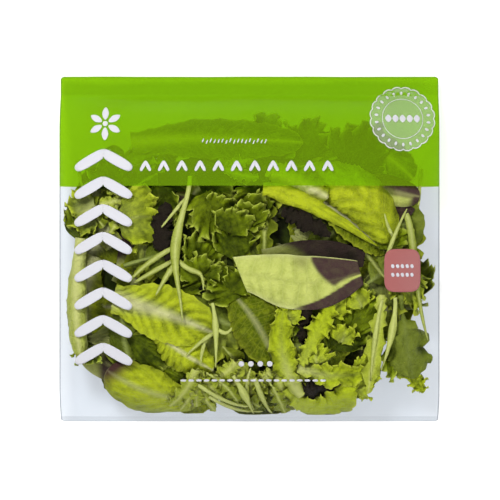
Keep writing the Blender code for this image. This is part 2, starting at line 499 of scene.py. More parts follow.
COLUMN_X = -0.1085
white_patches = []
for y in np.linspace(0.066, -0.078, 8):
    white_patches += slanted_bars(COLUMN_X, y, 0.0270, 0.0078, 30)
for x in np.linspace(-0.0770, 0.0580, 11):
    white_patches += slanted_bars(x, 0.0615, 0.0086, 0.0026, 62)
for x in np.linspace(-0.0345, 0.0120, 17):
    white_patches.append(patch(bar(0.0034, 0.0009, 2.5), (x, 0.0800 + 0.0006 * math.cos(900 * x)), turn=1.2, spokes=16, rings=2))
for x in np.linspace(-0.0060, 0.0150, 4):
    white_patches.append(patch(bar(0.0042, 0.0042, 2.0), (x, -0.0850), spokes=20, rings=3))
for x in np.linspace(-0.0490, 0.0545, 19):
    white_patches.append(patch(bar(0.0042, 0.0017, 3.0), (x, -0.0975), spokes=16, rings=3))
for y in (-0.0128, -0.0192):
    for x in np.linspace(0.1060, 0.1205, 5):
        white_patches.append(patch(bar(0.0024, 0.0030, 2.5), (x, y), turn=0.3, spokes=16, rings=2))

# A flower of six petals at the head of the column.
EMBLEM = (-0.1076, 0.0935)
for k in range(6):
    a = math.radians(60 * k + 30)
    petal = (EMBLEM[0] + 0.0078 * math.cos(a), EMBLEM[1] + 0.0078 * math.sin(a))
    white_patches.append(patch(bar(0.0098, 0.0050, 1.6), petal, turn=a, spokes=32, rings=5))
white_patches.append(patch(bar(0.0040, 0.0040, 2.0), EMBLEM, spokes=20, rings=3))

# A scalloped badge: frosted disc, white rim, ring of dots and a bar across it.
BADGE, BADGE_RADIUS = (0.1145, 0.0975), 0.0250
frost_patches = [patch(scallops(BADGE_RADIUS, 20, 0.05), BADGE, spokes=120, rings=20)]
white_patches.append(patch(scallops(BADGE_RADIUS, 20, 0.05), BADGE, spokes=120, rings=2, inner=0.965))
white_patches.append(patch(scallops(BADGE_RADIUS * 0.62, 20, 0.0), BADGE, spokes=80, rings=1, inner=0.97))
for k in range(22):
    a = 2 * math.pi * (k + 0.5) / 22
    dot = (BADGE[0] + 0.0198 * math.cos(a), BADGE[1] + 0.0198 * math.sin(a))
    white_patches.append(patch(bar(0.0030, 0.0019, 2.0), dot, turn=a, spokes=14, rings=2))
for k in range(5):
    white_patches.append(patch(bar(0.0048, 0.0060, 1.5), (BADGE[0] - 0.0108 + 0.0054 * k, BADGE[1]), spokes=20, rings=3))

white_print = ink_piece("white_print", white_patches, white_ink, over=0.00012)
frost_print = ink_piece("frost_print", frost_patches, frost_ink)
rose_print = ink_piece("rose_print", [patch(bar(0.0275, 0.0320, 4.5), (0.1133, -0.0160), spokes=64, rings=12)], rose_ink)

# %% [markdown]
# ## Leaves hung one under another
#
# In a bag that is drawn tight the top leaves touch the film and each further leaf lies under those. The same rule
# places them here. A grid of heights starts as the film; every leaf is hung under that grid and then lowers the grid
# where it lies. So no leaf cuts through another, and a leaf bends down where it goes under its neighbour. The leaves
# on the back of the bag are made the same way, with all heights turned over.

# %% A pile of leaves
GAP = 0.6  # millimetres kept between leaf and film
CELL = 2.4  # millimetres between the grid's places


def soft_min(a, b, blend):
    """The smaller of a and b with a rounded corner: (a + b - sqrt((a - b)^2 + blend^2)) / 2."""
    return 0.5 * (a + b - np.sqrt((a - b) ** 2 + blend**2))


def even_out(values, lowest, rounds):
    """Each place takes the lowest or the mean value of itself and its four neighbours, in so many rounds."""
    for _ in range(rounds):
        wide = np.pad(values, 1, mode="edge")
        near = np.stack([wide[1:-1, 1:-1], wide[:-2, 1:-1], wide[2:, 1:-1], wide[1:-1, :-2], wide[1:-1, 2:]])
        values = near.min(axis=0) if lowest else near.mean(axis=0)
    return values


class Pile:
    """Height that is free under the leaves hung so far. side is 1 under the upper film and -1, with all heights
    turned over, on the lower one."""

    def __init__(self, side):
        self.side = side
        x = np.arange(-500 * CELL // 4, 500 * CELL // 4 + CELL, CELL)
        self.low = x[0]
        self.heights = self.films(*np.meshgrid(x, x, indexing="ij"))[0] - GAP

    def films(self, x, y):
        """The near and the far film in millimetres."""
        upper, lower = [1000 * h for h in film_heights(x / 1000, y / 1000)]
        return (upper, lower) if self.side > 0 else (-lower, -upper)

    def cells(self, x, y):
        return tuple(np.clip(np.rint((c - self.low) / CELL).astype(int), 0, len(self.heights) - 1) for c in (x, y))

    def hang(self, x, y, relief, deep, thick):
        """Height of a leaf whose highest parts come within deep of the film."""
        near, far = self.films(x, y)
        z = near - GAP - deep - np.percentile(relief, 96) + relief
        free = even_out(even_out(self.heights[self.cells(x, y)], True, 1), False, 3)
        z = soft_min(z, free - 0.5 * thick, 0.9)
        z = -soft_min(-z, -far - GAP - thick, 0.7)
        np.minimum.at(self.heights, self.cells(x, y), z - 0.8 * thick)
        return self.side * z


top_pile, back_pile = Pile(1), Pile(-1)

# %% [markdown]
# ## A leaf as a surface
#
# Every leaf is one surface with two parameters: t runs along the midrib from base to tip, and v runs across it from
# -1 at one edge to 1 at the other. The midrib is a curve through three or four places on the table. Across it the
# leaf is an arc of a circle, so that it can cup or roll. On that arc lie the rib and the blisters between side veins.
# A lettuce edge grows faster than its middle and has to fold: those ruffles are three waves, each finer and nearer
# to the edge than the last. Frilly pieces are fans instead: their margin runs all the way round, so that the ruffles do.


# %% The leaf function
def inside_bag(x, y):
    """Draws places outside the pouch smoothly back to just within its folds and seals."""
    def ease(value, limit, margin):
        over = np.maximum(0, np.abs(value) - (limit - margin))
        return np.sign(value) * (np.minimum(np.abs(value), limit - margin) + margin * (1 - np.exp(-over / margin)))
    middle = 500 * (POUCH_START + POUCH_END)
    return ease(x, 1000 * HALF_WIDTH - 2.5, 5), middle + ease(y - middle, 500 * (POUCH_END - POUCH_START) - 1.2, 4)


def crumple(x, y, height, rng):
    """Irregular swells: the sum of nine sine waves with chance directions and lengths of 7 to 30 mm."""
    total = 0
    for _ in range(9):
        turn, length = rng.uniform(0, np.pi), rng.uniform(7, 30)
        total = total + length / 30 * np.sin(2 * np.pi * (x * math.cos(turn) + y * math.sin(turn)) / length + rng.uniform(0, 6))
    return height * total


def ruffles(wave, closeness, height, rng, sharp=1.0):
    """How far a ruffled edge moves up, outwards and along itself. Each wave is height sin(w) up and, a quarter turn
    later, 0.6 height outwards. Swinging along the edge twice as fast rounds its folds into loops."""
    up = out = along = 0
    for share, count, near in ((1.0, 1.0, 1.6), (0.6, 2.1, 2.4), (0.18, 3.9, 3.4)):
        swell = height * share * closeness ** (near * sharp)
        angle = count * wave + rng.uniform(0, 6)
        up, out = up + swell * np.sin(angle), out + 0.7 * swell * np.cos(angle)
        along = along - 0.55 * swell * np.sin(2 * angle)
    return up, out, along


def sheet(x, y, relief, deep, pile, thick, rib, pale, edge, vein, v, looks):
    """Hangs a surface on the pile and gives it thickness. Returns points, map, traits, form and grid size."""
    shade, warm, reddened = looks
    # Painted light and shade: the high places of each leaf's relief are made lighter, and its low places, the hollows,
    # darker towards the shade colour.
    low, high = np.percentile(relief, (8, 92))
    warm = np.clip(warm + 0.6 * ((relief - low) / (high - low + 2) - 0.5), 0, 1)
    hollow = np.maximum(0, low + 0.3 * (high - low) - relief) / (high - low + 2)
    shade = np.clip(shade + 0.9 * hollow, 0, 1)
    x, y = inside_bag(x, y)
    points = np.stack([x, y, pile.hang(x, y, relief, deep, thick)], axis=-1)
    normal = np.cross(np.gradient(points, axis=0), np.gradient(points, axis=1))
    normal = normal / (np.linalg.norm(normal, axis=-1, keepdims=True) + 1e-9)
    skin = 0.5 * (thick + rib)[..., None]
    made = np.concatenate([s.reshape(-1, 3) for s in (points + normal * skin, points - normal * skin)]) / 1000
    even = 0 * relief
    uv = np.stack([vein + even, v + even], axis=-1).reshape(-1, 2)
    traits = np.stack([shade + even, warm + even, reddened + even], axis=-1).reshape(-1, 3)
    form = np.stack([pale + even, edge + even, even], axis=-1).reshape(-1, 3)
    return made, np.tile(uv, (2, 1)), np.tile(traits, (2, 1)), np.tile(form, (2, 1)), relief.shape


def leaf(path, wide, outline, rows=44, columns=19, deep=0.5, dive=0.0, curl=0.0, roll=0.0, rib=0.8, rib_wide=2.0,
         quilt=0.0, veins=9, slant=0.35, ruffle=0.0, waves=7.0, lobes=0, cut=0.0, teeth=0.0, bumps=0.25,
         shade=0.0, warm=0.5, blush=None, pile=top_pile, seed=0, thick=0.45, base_slant=0.0, streak=None, fade=0.0, fade_rib=0.0):
    """One long leaf: t runs along the midrib and v across. Lengths are in millimetres, curl and roll in radians."""
    rng = np.random.default_rng(seed)
    t = np.linspace(0, 1, rows)[:, None]
    v = np.sin(np.linspace(-1, 1, columns) * np.pi / 2)[None, :]
    edge, side = np.abs(v), np.sign(v)
    knots = np.linspace(0, 1, len(path))
    cx, cy = [np.polyval(np.polyfit(knots, [p[k] for p in path], len(path) - 1), t) for k in (0, 1)]
    dx, dy = np.gradient(cx, axis=0), np.gradient(cy, axis=0)
    step = np.hypot(dx, dy)
    dx, dy = dx / step, dy / step
    phase = rng.uniform(0, 2 * np.pi, 4)
    half = wide / 2 * np.maximum(outline(t), 0.02)
    if lobes:
        notch = 0.5 + 0.5 * np.cos(2 * np.pi * (lobes * t + 0.12 * side) + phase[0])
        half = half * (1 - cut * notch**1.5 * smooth_step((t - 0.05) / 0.2))
    if teeth:
        half = half + teeth * np.abs(np.sin(np.pi * (lobes or 6) * 2.7 * t + phase[1] * side)) * smooth_step(half / 3)
    half = half + 0 * v
    bow = curl * v
    across = half * v * np.sinc(bow / np.pi)
    relief = half * v * np.sinc(bow / (2 * np.pi)) * np.sin(bow / 2)
    across, relief = across * math.cos(roll) - relief * math.sin(roll), across * math.sin(roll) + relief * math.cos(roll)
    grow = np.minimum(1, half / (0.3 * wide))
    wave = 2 * np.pi * waves * t + phase[2] * side + 0.9 * np.sin(2 * np.pi * 1.7 * t + phase[3])
    up, out, slide = ruffles(wave + 0 * v, edge, ruffle * grow, rng)
    vein = veins * (t - slant * edge) + 0.22 * side + 0.3 * np.sin(5 * t + phase[0]) + 0.12 * np.sin(9 * t + 4 * v)
    blister = np.abs(np.sin(np.pi * vein)) ** 1.1 * np.sin(np.pi * edge**0.8) ** 0.7 * grow
    pale = min(1, 4 * rib) * (1 - fade_rib * smooth_step(t / 0.8)) * np.exp(-((v * half / (0.25 + rib_wide * (1 - 0.85 * t))) ** 2))
    thicker = 1.2 * rib * (1 - 0.6 * t) * pale
    across, slide = across + out * side, slide - base_slant * v * (1 - t) ** 3
    x, y = cx - dy * across + dx * slide, cy + dx * across + dy * slide
    relief = relief + up + quilt * blister + 0.8 * thicker - dive * t + crumple(x, y, bumps, rng)
    # Colour follows the blisters, lighter on their crests and darker in the valleys: partly the leaf's tone, partly
    # painted light and shade.
    streak = min(0.4, 0.3 * quilt) if streak is None else streak
    looks = shade, warm + streak * (blister - 0.6) - fade * (t - 0.5), blush(t, v) if blush else 0
    return sheet(x, y, relief, deep, pile, thick, thicker, pale, edge, vein, v, looks)


def fan(base, toward, long, spread=45, rows=14, columns=100, deep=1.0, dive=0.0, cup=2.0, ruffle=3.4, waves=5.5,
        lobes=5, cut=0.09, blister=0.6, pale=0.5, narrow=0.35, bumps=0.9, shade=0.0, warm=0.5, pile=top_pile, seed=0,
        thick=0.35):
    """One frilly piece: r runs from its cut base to the margin, a from -1 to 1 over its opening angle of twice spread
    degrees. The margin lies at long (1 - narrow a^2) from the base, less the notches between its round lobes. The
    leaf cups by cup r^2, and blisters rise between two crossing families of folds."""
    rng = np.random.default_rng(seed)
    r = np.linspace(0.06, 1, rows)[:, None] ** 0.62
    a = np.linspace(-1, 1, columns)[None, :]
    phase = rng.uniform(0, 2 * np.pi, 9)
    bend = 0.35 * np.sin(3 * r + phase[1]) + 0.3 * np.sin(7 * r + 3 * a + phase[2])
    wave = np.pi * waves * a + 1.2 * np.sin(4 * a + phase[3]) + 2.2 * bend
    notch = 1 - np.abs(np.sin(0.5 * np.pi * lobes * (a + 0.12 * np.sin(5 * a + phase[5])) + phase[0])) ** 0.5
    nick = 1 - np.abs(np.sin(1.7 * np.pi * lobes * (a + 0.08 * np.sin(7 * a + phase[6])) + phase[7])) ** 0.5
    up, out, slide = ruffles(wave, r, ruffle * (1 + 0.4 * np.sin(5 * a + phase[4])), rng, 3.4)
    margin = 1 - narrow * a**2 + 0.08 * np.sin(6 * a + phase[0]) - (cut * notch + 0.25 * cut * nick) * r**3
    reach = long * r * margin + out
    turn = math.radians(spread) * (a * (0.45 + 0.55 * smooth_step(1.3 * r)) + 0.1 * bend) + slide / (long * np.maximum(r, 0.3))
    turn = turn + math.radians(toward)
    x, y = base[0] + reach * np.cos(turn), base[1] + reach * np.sin(turn)
    u, w = x + 1.2 * np.sin(y / 3 + phase[5]), y + 1.2 * np.sin(x / 4 + phase[6])
    cells = np.abs(np.sin(u / 1.7 + w / 3.1 + phase[7]) * np.sin(w / 1.9 - u / 3.7 + phase[8])) ** 0.6
    relief = up + cup * r**2 - dive * r + crumple(x, y, bumps, rng) + blister * cells * smooth_step(2 * r)
    stem = np.clip(1.6 * pale * (1 - r) ** 1.2 + 0.5 * np.exp(-((a * r * long / 1.3) ** 2)) * (1 - r), 0, 1)
    # Lighter on the blister crests and towards the margin, darker towards the base: partly the leaf's tone, partly
    # painted light and shade.
    looks = shade, warm + 0.25 * (cells - 0.5) + 0.35 * (r - 0.7), 0
    return sheet(x, y, relief, deep, pile, thick, 0.4 * stem, stem, r**3, 2 * a, a, looks)


def closed_sheet_faces(rows, columns, first):
    """Top, underside and the four rims of a sheet whose underside points follow its top points."""
    shift = rows * columns
    top = grid_faces(rows, columns, first)
    g = first + np.arange(shift).reshape(rows, columns)
    rims = []
    for line, flip in ((g[:, 0], False), (g[:, -1], True), (g[0], True), (g[-1], False)):
        quad = np.stack([line[:-1], line[:-1] + shift, line[1:] + shift, line[1:]], axis=-1)
        rims.append(quad[:, ::-1] if flip else quad)
    return np.concatenate([top, top[:, ::-1] + shift, *rims])


def join_leaves(name, leaves, finish):
    """One mesh of many leaves, riding on the bag."""
    first, faces = 0, []
    for made, _, _, _, (rows, columns) in leaves:
        faces.append(closed_sheet_faces(rows, columns, first))
        first += len(made)
    made, uv, traits, form = [np.concatenate([leaf_[k] for leaf_ in leaves]) for k in range(4)]
    piece = make_mesh(name, made, np.concatenate(faces), finish, uv, {"traits": traits, "form": form})
    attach(piece, "root")
    return piece


# %% [markdown]
# ## Leaf finish
#
# A fresh leaf is a waxy skin over green flesh: a dielectric with a soft, even gloss. Its colour changes with place
# on the leaf: pale at the rib and side veins, brighter along the thin edge, red where sun has coloured it, lighter
# with painted light on its raised parts, and darker with painted shade in its hollows and where a leaf is set in
# shade deep in the heap. Those places are known when the leaf is made, so they travel with the mesh as attributes
# and the map, and one recipe serves all kinds of leaf.

# %% Leaf recipe
# deep, #12150a, is the colour of painted shade.
def leaf_finish(name, body, light, vein, rib, edge, red="#4a2f2c", deep="#12150a", vein_strength=0.5, rib_show=1.0):
    material, out = new_material(name)
    add = lambda kind, settings=None, **links: add_node(material, kind, settings, **links)
    place = add("TexCoord")
    mottle = add("TexNoise", {"Scale": 160.0, "Detail": 4.0, "Roughness": 0.65}, Vector=place.outputs["Object"])
    spread = add("MapRange", {"From Min": 0.35, "From Max": 0.65}, Value=mottle.outputs["Fac"])
    traits = add("SeparateXYZ", {}, Vector=add("Attribute", {"attribute_name": "traits"}).outputs["Vector"])
    form = add("SeparateXYZ", {}, Vector=add("Attribute", {"attribute_name": "form"}).outputs["Vector"])
    leaf_map = add("SeparateXYZ", {}, Vector=add("UVMap", {"uv_map": "leaf_map"}).outputs["UV"])

    def mix(factor, first, second):
        node = add("Mix", {"data_type": "RGBA"}, _0=factor)
        for socket, value in ((node.inputs[6], first), (node.inputs[7], second)):
            if isinstance(value, str):
                socket.default_value = linear(value)
            else:
                connect(material, value, socket)
        return node.outputs[2]

    def math_node(operation, first, second=0.0, third=0.0):
        node = add("Math", {"operation": operation})
        for socket, value in zip(node.inputs, (first, second, third)):
            if isinstance(value, float):
                socket.default_value = value
            else:
                connect(material, value, socket)
        return node.outputs[0]

    # traits Y is the leaf's own tone plus painted light on its raised parts and blister crests; it moves the colour
    # from body to light.
    fresh = mix(math_node("MULTIPLY_ADD", spread.outputs[0], 0.4, math_node("SUBTRACT", traits.outputs["Y"], 0.2)), body, light)
    from_vein = math_node("ABSOLUTE", math_node("SUBTRACT", math_node("FRACT", leaf_map.outputs["X"]), 0.5))
    vein_line = math_node("POWER", math_node("MULTIPLY", from_vein, 2.0), 9.0)
    net = add("TexVoronoi", {"feature": "DISTANCE_TO_EDGE", "Scale": 260.0}, Vector=place.outputs["Object"])
    net_line = add("MapRange", {"From Min": 0.0, "From Max": 0.16, "To Min": 0.45, "To Max": 0.0}, Value=net.outputs["Distance"])
    lines = math_node("MULTIPLY", math_node("MAXIMUM", vein_line, net_line.outputs[0]), vein_strength)
    veined = mix(lines, fresh, vein)
    edge_line = math_node("POWER", form.outputs["Y"], 7.0)
    edged = mix(math_node("MULTIPLY", edge_line, 0.8), veined, edge)
    red_part = math_node("MULTIPLY", traits.outputs["Z"], math_node("MULTIPLY_ADD", spread.outputs[0], 0.06, 0.96))
    reddened = mix(red_part, edged, red)
    clear_rib = math_node("MULTIPLY_ADD", traits.outputs["Z"], -0.6 * rib_show, rib_show)
    ribbed = mix(math_node("MULTIPLY", form.outputs["X"], clear_rib), reddened, rib)
    # Painted shade: traits X darkens the colour towards deep, for leaves set in shade and for their hollows.
    shaded = mix(traits.outputs["X"], ribbed, deep)
    raised = math_node("MAXIMUM", math_node("MULTIPLY", vein_line, 0.45), net_line.outputs[0])
    height = math_node("MULTIPLY_ADD", raised, -0.9, spread.outputs[0])
    relief = add("Bump", {"Strength": 0.7, "Distance": 0.0011}, Height=height)
    skin = add("BsdfPrincipled", {"Roughness": 0.38, "IOR": 1.22}, Base_Color=shaded, Normal=relief.outputs[0])
    through = add("BsdfTranslucent", {}, Color=shaded)
    both = add("MixShader", {0: 0.20}, _1=skin.outputs[0], _2=through.outputs[0])
    connect(material, both.outputs[0], out.inputs[0])
    return material


# %% [markdown]
# ## Outlines of the kinds of leaf
#
# The mix holds pieces of cos lettuce with a broad pale rib, small red cos leaves, frilly green lettuce, curly endive,
# long-stalked mizuna and rocket, and round baby leaves. Each kind is its own outline and its own mesh.

# %% Outlines, as the share of the full width at t
def cos_outline(t):
    """Half width at the cut base, full past the middle, and a round tip: (1 - t^6)^(1/2)."""
    return (0.5 + 0.5 * smooth_step(t / 0.5)) * np.sqrt(1 - t**6)


def boat_outline(t):
    """Three quarters at the cut base, full before the middle, and then narrowing to a blunt point."""
    return (0.76 + 0.24 * smooth_step(t / 0.4)) * (1 - t**3.2) ** 0.75


def fan_outline(t):
    """Narrow at the base and broad to a blunt end."""
    return (0.22 + 0.78 * smooth_step(t / 0.6)) * np.sqrt(1 - t**9)


def lobed_outline(t):
    """A bare stalk for a third of the length, then a narrow blade that is broadest near its end."""
    return (0.10 + 0.90 * smooth_step((t - 0.30) / 0.45)) * np.sqrt(1 - t**7)


def round_outline(t):
    """A thin stalk for a third of the length, then a disc: sqrt(1 - s^2) with s from -1 to 1 over the blade."""
    s = np.clip((t - 0.36) / 0.64, 0, 1) * 2 - 1
    return np.maximum(0.09, np.sqrt(np.maximum(0, 1 - np.abs(s) ** 2.2)))


def stalk_outline(t):
    """A stalk that swells a little before its middle and thins to its far end."""
    return (0.70 + 0.30 * np.sin(np.pi * np.minimum(1, 1.4 * t)) + 0.06 * np.sin(23 * t)) * (1 - t**4) ** 0.7


def main_stalk(t):
    """A stalk that swells to its fork at the middle and runs on thinner."""
    return (0.38 + 0.62 * np.exp(-(((t - 0.50) / 0.19) ** 2))) * (1 - t**8)


def ribbed_outline(t):
    """A narrow cut base, full past the middle, and a broad ragged end."""
    return (0.36 + 0.64 * smooth_step(t / 0.6)) * (1 - t**5) ** 0.5


def blade_outline(t):
    """A long narrow blade, pointed at both ends."""
    return np.sin(np.pi * (0.06 + 0.90 * t)) ** 0.7


# %% Looks of the kinds of leaf
LOOKS = {
    "cos": dict(outline=cos_outline, rows=52, rib=1.2, rib_wide=5.0, quilt=1.3, veins=9, slant=0.15, ruffle=0.8, warm=0.8, bumps=0.35),
    "red": dict(outline=boat_outline, rows=52, rib=0.4, rib_wide=2.5, quilt=0.3, veins=8, slant=0.3, warm=0.8),
    "frill": dict(ruffle=3.8, waves=5.4, cup=2.5, pale=0.25, blister=0.4),
    "batavia": dict(ruffle=3.6, waves=5.2, cup=2.0, pale=0.7, warm=0.9, blister=0.8),
    "ribbed": dict(outline=ribbed_outline, rows=110, columns=15, rib=0.7, rib_wide=6, fade_rib=0.9, quilt=1.0, veins=6, slant=0.3, ruffle=2.4,
                   waves=4.5, lobes=3, cut=0.2, warm=0.85, bumps=0.5),
    "mizuna": dict(outline=lobed_outline, rows=64, columns=13, lobes=5, cut=0.7, rib=1.0, rib_wide=1.3, ruffle=0.8, waves=5,
                   teeth=0.8, warm=0.6),
    "stalk": dict(outline=stalk_outline, rows=28, columns=9, curl=-1.0, rib=0.3, rib_wide=1.2, thick=0.8, veins=3, bumps=0.1, warm=0.7,
                  fade=0.5),
    "blade": dict(outline=blade_outline, rows=50, columns=11, rib=0.9, rib_wide=1.2, ruffle=0.7, waves=4, teeth=0.9, lobes=6),
    "endive": dict(outline=blade_outline, rows=72, columns=9, rib=0.8, rib_wide=2.4, ruffle=1.2, waves=4, lobes=4, cut=0.5, teeth=1.2),
    "baby": dict(outline=round_outline, rows=44, columns=17, rib=0.8, rib_wide=1.1, ruffle=0.7, waves=3, bumps=0.4),
}
LEAVES = {kind: [] for kind in LOOKS}


def place(kind, path, wide, **looks):
    """Hangs one long leaf on the pile. Its seed is its number, so each leaf has its own ruffles."""
    seed = 100 * list(LEAVES).index(kind) + len(LEAVES[kind])
    LEAVES[kind].append(leaf(path, wide, seed=seed, **LOOKS[kind] | looks))


def place_fan(kind, base, toward, long, **looks):
    """Hangs one frilly piece on the pile, from its base towards an azimuth in degrees."""
    seed = 100 * list(LEAVES).index(kind) + len(LEAVES[kind])
    LEAVES[kind].append(fan(base, toward, long, seed=seed, **LOOKS[kind] | looks))


def red_beyond(start, slope=0.2, soft=0.16):
    """Reddened beyond a slanted line across the leaf."""
    return lambda t, v: smooth_step((t + slope * v - start) / soft)


def all_red(t, v):
    return 1 + 0 * t * v


def red_boat(t, v):
    """Red beyond a slanted line near the tip and under the lower rim. The ridge between them, the upper rim and one
    patch stay pale, and a faint blush lies under the upper rim."""
    fold_line = 0.74 * np.clip((t - 0.44) / 0.48, 0, 1) ** 0.8 - 1
    start = 0.61 + 0.17 * (np.clip(0.85 - v, 0, 2) / 1.12) ** 1.3
    tip = smooth_step((t - start) / 0.05 + 0.5) * smooth_step((v - fold_line - 0.12) / 0.08)
    rim = smooth_step((fold_line - v) / 0.06) * smooth_step((t - 0.42) / 0.14)
    patch_ = 0.55 * np.exp(-(((t - 0.5 * v - 0.93) / 0.04) ** 2) - ((v + 0.18) / 0.16) ** 2)
    blush_ = 0.35 * np.exp(-(((t - 0.52) / 0.07) ** 2) - ((v - 0.72) / 0.25) ** 2)
    return np.maximum(tip * (1 - patch_), np.maximum(rim, blush_)) * (1 - 0.9 * smooth_step((v - 0.93) / 0.05))


def red_cup(t, v):
    """Red over its upper side and its tip. The lower side stays pale."""
    return np.maximum(smooth_step((v + 0.35) / 0.3) * smooth_step((t - 0.1) / 0.2), smooth_step((t - 0.80) / 0.12))


# %% Outline of the heap
HEAP_MIDDLE, HEAP_REACH = (-6, -17), (130, 109)


def in_heap(x, y, margin=0):
    """Draws a place outside the heap's outline, |x/a|^3 + |y/b|^3 = 1, back to that outline."""
    u, w = (x - HEAP_MIDDLE[0]) / (HEAP_REACH[0] - margin), (y - HEAP_MIDDLE[1]) / (HEAP_REACH[1] - margin)
    over = max(1.0, (abs(u) ** 3 + abs(w) ** 3) ** (1 / 3))
    return HEAP_MIDDLE[0] + (x - HEAP_MIDDLE[0]) / over, HEAP_MIDDLE[1] + (y - HEAP_MIDDLE[1]) / over


# %% Curly endive: toothed strands that fan out from a pale base
endive_rng = np.random.default_rng(7)


def endive_fan(base, toward, spread, count, reach, wide, **looks):
    """count strands from one base, spread evenly round the direction, each with its own length and bend."""
    for k in range(count):
        turn = math.radians(toward + spread * (k / (count - 1) - 0.5) + endive_rng.uniform(-6, 6))
        length, bend = reach * endive_rng.uniform(0.7, 1.1), endive_rng.uniform(-0.18, 0.18)
        ux, uy = length * math.cos(turn), length * math.sin(turn)
        path = [in_heap(base[0] + a * ux - b * uy, base[1] + a * uy + b * ux) for a, b in ((0, 0), (0.5, bend), (1, 0.5 * bend))]
        drawn = dict(deep=endive_rng.uniform(0.8, 2.4), warm=endive_rng.uniform(0.0, 1.0))
        place("endive", path, wide * endive_rng.uniform(0.7, 1.2), **drawn | looks)


# %% [markdown]
# ## The leaves that show
#
# The large leaves that make the look of the mix are placed one by one, from the film downwards: first the stalks
# that cross over everything, then the cos and red leaves, then the frilly lettuce that fills in between.

# %% Stalks on top
place("stalk", [(-44, 54), (-49, 28), (-54.5, 3), (-53.5, -22), (-49.5, -53)], 8.2, outline=main_stalk, rows=50, columns=13, deep=0.2,
      curl=-0.9, warm=0.6)
place("stalk", [(-27.5, -40), (-25, -58), (-25, -88)], 5.2, outline=main_stalk, columns=11, deep=0.2, warm=1.2)
place("stalk", [(-25, -58), (-18, -62), (-13, -58)], 3.0, deep=0.4, warm=1.0)
place("stalk", [(-26, -62), (-36, -69), (-47, -79)], 3.2, deep=0.3)
place("stalk", [(-32, -67), (-35, -76), (-36, -86)], 2.6, deep=0.4)
place("stalk", [(-53, -8), (-61, -20), (-69, -34)], 4.6, deep=0.5, warm=0.5)
place("stalk", [(-52, -9), (-42, -16), (-36, -19), (-34, -30)], 4.0, deep=0.5, warm=0.5)
place("stalk", [(-47, 38), (-56, 27), (-65, 16)], 2.2, deep=0.5, warm=0.9)
place("stalk", [(98, -38), (93, -66), (90, -98)], 4.2, outline=main_stalk, deep=0.4, warm=0.9)
place("endive", [(98, -34), (94, -68), (88, -108)], 15, outline=ribbed_outline, deep=0.5, curl=-0.5, warm=1.0, rib=0.3, lobes=4, cut=0.5)
place("stalk", [(108, -36), (106, -60), (98, -90)], 6.6, outline=main_stalk, deep=0.5, warm=1.1)
place("stalk", [(101, -8), (108, 11), (117, 30)], 3.0, deep=0.6, warm=0.8)
place("stalk", [(107, 8), (103, 16), (100, 26)], 2.4, deep=0.7)
place("stalk", [(116, 26), (121, 4), (125, -30), (133, -68)], 5.6, deep=0.9, curl=-0.5, warm=0.3)

# %% Cos and red leaves that touch the film
def boat_hull(t):
    """Two thirds at the cut base, full past the middle and then narrowing to a blunt end."""
    return (0.66 + 0.34 * smooth_step(t / 0.42)) * (1 - 0.55 * np.maximum(0, (t - 0.6) / 0.4) ** 1.8)


def flap_outline(t):
    """Broad at its cut end and drawn out to a long point."""
    return (0.62 + 0.38 * smooth_step(t / 0.35)) * (1 - t**1.9) ** 0.85


place("stalk", [(-12, -94), (-4, -108), (3, -124)], 6.4, outline=main_stalk, deep=0.3, curl=-0.5, warm=1.3)
place("stalk", [(-38, -101), (-16, -114), (2, -118)], 3.2, deep=0.3, warm=1.2)
place("stalk", [(-30, -110), (-10, -120), (10, -122)], 2.8, deep=0.4, warm=1.0)
place("stalk", [(4, -96), (10, -112), (17, -124)], 4.4, deep=0.4, warm=0.9)
place("stalk", [(3, -121), (-2, -106), (1, -88)], 3.6, deep=0.5, warm=1.1)
place("mizuna", [(12, -94), (20, -108), (27, -124)], 15, deep=0.5, curl=-0.6, warm=1.3, rib=0.3)
place("mizuna", [(-32, -92), (-18, -102), (-8, -116)], 13, deep=0.6, curl=-0.6, warm=1.4, rib=0.3)
endive_fan((-40, -90), 285, 110, 6, 32, 10.0, deep=0.6, warm=0.7)
place("red", [(-7, -19), (15, -21.5), (37, -25), (59, -23.5), (82, -17.5)], 40, outline=boat_hull, rows=110, columns=41, deep=0.4,
      curl=-0.2, blush=red_boat, base_slant=4.5, veins=8, slant=0.02, quilt=0.6, streak=0.45, rib=0.05)
place("cos", [(-101, -37), (-65, -47), (-27, -62)], 43, columns=27, deep=0.9, curl=0.4, rib=1.6, rib_wide=6, quilt=2.0, veins=7, slant=0.3,
      warm=0.85)
place("cos", [(10, 45), (44, 34), (95, 2)], 19, outline=flap_outline, deep=0.5, curl=-1.0, roll=-0.15, rib=0, quilt=1.4, veins=5,
      warm=0.95, ruffle=0.5, waves=3, fade=0.3)
place("cos", [(14, 60), (34, 50), (58, 38)], 26, deep=0.9, curl=-0.8, rib=1.0, rib_wide=9, quilt=0.5, ruffle=1.6, warm=0.5)
place("cos", [(30, 50), (76, 44), (104, 4)], 40, columns=27, deep=1.2, curl=-0.7, rib=0, quilt=1.8, veins=7, slant=-0.2, warm=0.75,
      fade=0.6)
place("red", [(82, 53), (104, 44), (127, 39)], 25, deep=0.8, curl=-0.9, warm=0.6, outline=cos_outline, blush=red_cup)
place("cos", [(-44, -113), (-76, -106), (-106, -90)], 41, deep=0.8, curl=-0.8, rib=0.1, rib_wide=2, quilt=1.6, veins=5, slant=0.6,
      ruffle=0.7, waves=4, warm=0.7, blush=red_beyond(0.76, -0.08, 0.22))
place("red", [(-125, 8), (-129, -40), (-125, -84)], 20, outline=cos_outline, deep=0.8, curl=-1.2, rib=1.2, rib_wide=5, quilt=1.0, warm=0.1,
      bumps=0.5, ruffle=0.6, waves=4)
place("ribbed", [(39, -110), (25, -80), (25, -46)], 25, deep=0.7, curl=-0.9, rib_wide=5, warm=0.75, ruffle=1.8)
